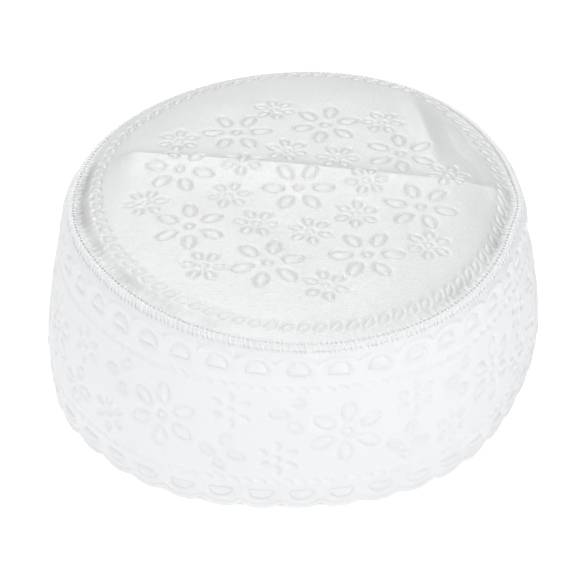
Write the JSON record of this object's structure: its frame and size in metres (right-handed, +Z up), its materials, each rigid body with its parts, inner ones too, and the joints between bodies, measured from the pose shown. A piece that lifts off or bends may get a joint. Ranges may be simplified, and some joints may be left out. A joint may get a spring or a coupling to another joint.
{
  "type": "prayer cap",
  "caption": "Stiff round prayer cap with a flat satin crown and a tall padded side band that ends in a scalloped edge, open below for the head.",
  "frame": {"origin": "on the surface the cap stands on, below the middle of its outline", "axes": "+Z up through the crown, -Y towards the front that the picture shows, +X to its right"},
  "size_m": [0.1908, 0.1828, 0.0765],
  "materials": {
    "band_cloth": "matt white foam-backed cloth with pressed eyelet-style flowers and scallops",
    "crown_satin": "soft white satin with a low silky sheen, pressed flowers and a pressed fold"
  },
  "bodies": {
    "root": {"band": "band_cloth", "crown": "crown_satin"}
  },
  "joints": []
}
